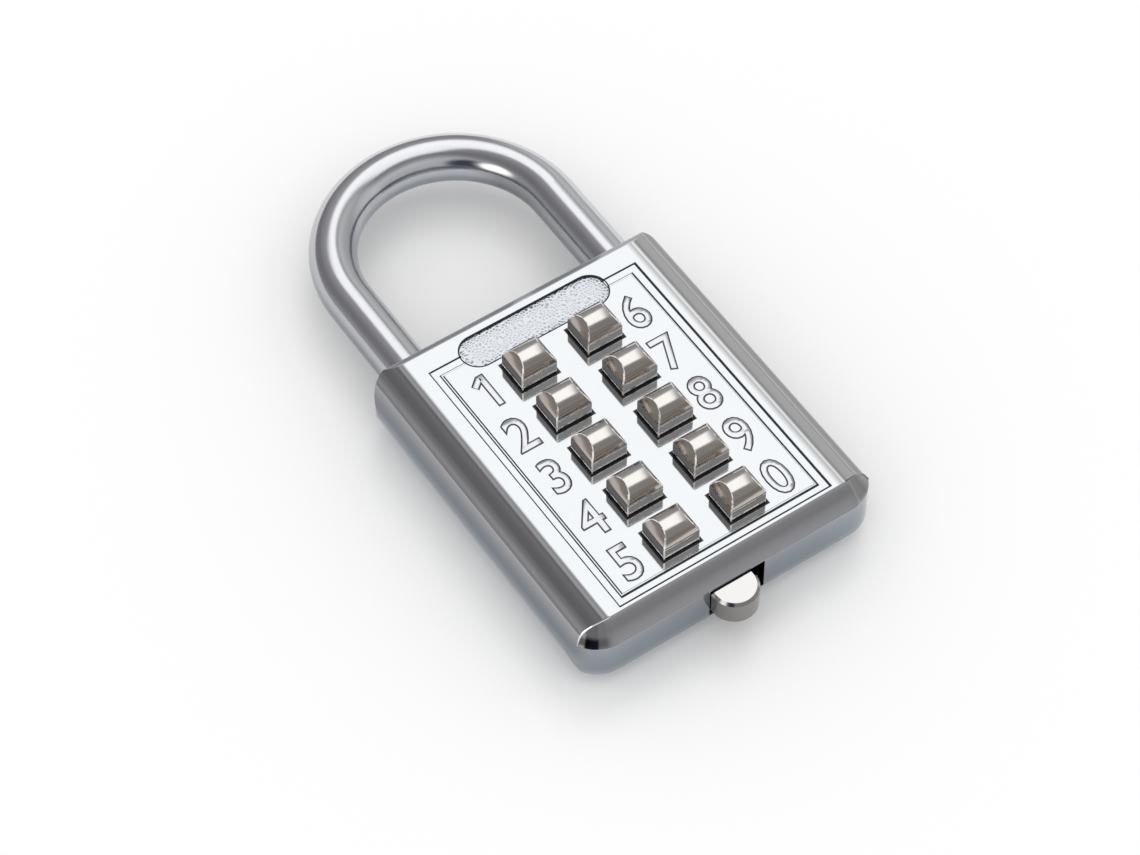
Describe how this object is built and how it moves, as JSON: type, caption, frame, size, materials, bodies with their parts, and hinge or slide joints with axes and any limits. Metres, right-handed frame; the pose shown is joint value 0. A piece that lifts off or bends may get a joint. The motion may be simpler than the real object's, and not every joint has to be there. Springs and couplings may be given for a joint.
{
  "type": "push-button combination padlock",
  "caption": "Chromed push-button combination padlock with domed-side case, two columns of push buttons, sliding opener knob and round shackle.",
  "frame": {"origin": "middle of the case's flat back, where the lock lies", "axes": "+X across the face to the notched toe of the shackle, +Y along the lock towards the shackle, +Z out of the face with the buttons"},
  "size_m": [0.042, 0.0812, 0.0144],
  "materials": {
    "case_chrome": "polished",
    "shackle_chrome": "polished",
    "button_nickel": "polished",
    "knob_nickel": "polished",
    "cover_steel": "satin",
    "inner_steel": "satin",
    "spring_steel": "satin",
    "plate_brass": "satin"
  },
  "bodies": {
    "case": {"case_body": "case_chrome", "back_cover": "cover_steel", "spring_tray": "inner_steel", "heel_pin": "inner_steel", "detent_spring": "spring_steel", "button_spring_1": "spring_steel", "button_spring_2": "spring_steel", "button_spring_3": "spring_steel", "button_spring_4": "spring_steel", "button_spring_5": "spring_steel", "button_spring_6": "spring_steel", "button_spring_7": "spring_steel", "button_spring_8": "spring_steel", "button_spring_9": "spring_steel", "button_spring_0": "spring_steel"},
    "shackle": {"shackle": "shackle_chrome"},
    "opener": {"opener_knob": "knob_nickel", "code_plate": "plate_brass", "latch_bolt": "plate_brass", "bolt_rivet_inner": "inner_steel", "bolt_rivet_outer": "inner_steel", "knob_rivet_left": "inner_steel", "knob_rivet_right": "inner_steel"},
    "hold_plate": {"hold_plate": "inner_steel"},
    "button_1": {"button_1": "button_nickel"},
    "button_2": {"button_2": "button_nickel"},
    "button_3": {"button_3": "button_nickel"},
    "button_4": {"button_4": "button_nickel"},
    "button_5": {"button_5": "button_nickel"},
    "button_6": {"button_6": "button_nickel"},
    "button_7": {"button_7": "button_nickel"},
    "button_8": {"button_8": "button_nickel"},
    "button_9": {"button_9": "button_nickel"},
    "button_0": {"button_0": "button_nickel"}
  },
  "joints": [
    {"name": "shackle_lift", "type": "slide", "parent": "case", "child": "shackle", "axis": [0, 1, 0], "range_m": [0, 0.011]},
    {"name": "opener_slide", "type": "slide", "parent": "case", "child": "opener", "axis": [1, 0, 0], "range_m": [0, 0.0016], "deforming": ["detent_spring"]},
    {"name": "hold_plate_slide", "type": "slide", "parent": "case", "child": "hold_plate", "axis": [0, 1, 0], "range_m": [0, 0.0006]},
    {"name": "button_1_press", "type": "slide", "parent": "case", "child": "button_1", "axis": [0, 0, -1], "range_m": [0, 0.0013], "stiffness_N_per_m": 300, "springref_m": -0.002, "deforming": ["button_spring_1"]},
    {"name": "button_2_press", "type": "slide", "parent": "case", "child": "button_2", "axis": [0, 0, -1], "range_m": [0, 0.0013], "stiffness_N_per_m": 300, "springref_m": -0.002, "deforming": ["button_spring_2"]},
    {"name": "button_3_press", "type": "slide", "parent": "case", "child": "button_3", "axis": [0, 0, -1], "range_m": [0, 0.0013], "stiffness_N_per_m": 300, "springref_m": -0.002, "deforming": ["button_spring_3"]},
    {"name": "button_4_press", "type": "slide", "parent": "case", "child": "button_4", "axis": [0, 0, -1], "range_m": [0, 0.0013], "stiffness_N_per_m": 300, "springref_m": -0.002, "deforming": ["button_spring_4"]},
    {"name": "button_5_press", "type": "slide", "parent": "case", "child": "button_5", "axis": [0, 0, -1], "range_m": [0, 0.0013], "stiffness_N_per_m": 300, "springref_m": -0.002, "deforming": ["button_spring_5"]},
    {"name": "button_6_press", "type": "slide", "parent": "case", "child": "button_6", "axis": [0, 0, -1], "range_m": [0, 0.0013], "stiffness_N_per_m": 300, "springref_m": -0.002, "deforming": ["button_spring_6"]},
    {"name": "button_7_press", "type": "slide", "parent": "case", "child": "button_7", "axis": [0, 0, -1], "range_m": [0, 0.0013], "stiffness_N_per_m": 300, "springref_m": -0.002, "deforming": ["button_spring_7"]},
    {"name": "button_8_press", "type": "slide", "parent": "case", "child": "button_8", "axis": [0, 0, -1], "range_m": [0, 0.0013], "stiffness_N_per_m": 300, "springref_m": -0.002, "deforming": ["button_spring_8"]},
    {"name": "button_9_press", "type": "slide", "parent": "case", "child": "button_9", "axis": [0, 0, -1], "range_m": [0, 0.0013], "stiffness_N_per_m": 300, "springref_m": -0.002, "deforming": ["button_spring_9"]},
    {"name": "button_0_press", "type": "slide", "parent": "case", "child": "button_0", "axis": [0, 0, -1], "range_m": [0, 0.0013], "stiffness_N_per_m": 300, "springref_m": -0.002, "deforming": ["button_spring_0"]}
  ],
  "couplings": [
    {"joint": "hold_plate_slide", "follows": "opener_slide", "ratio": 0.375}
  ]
}
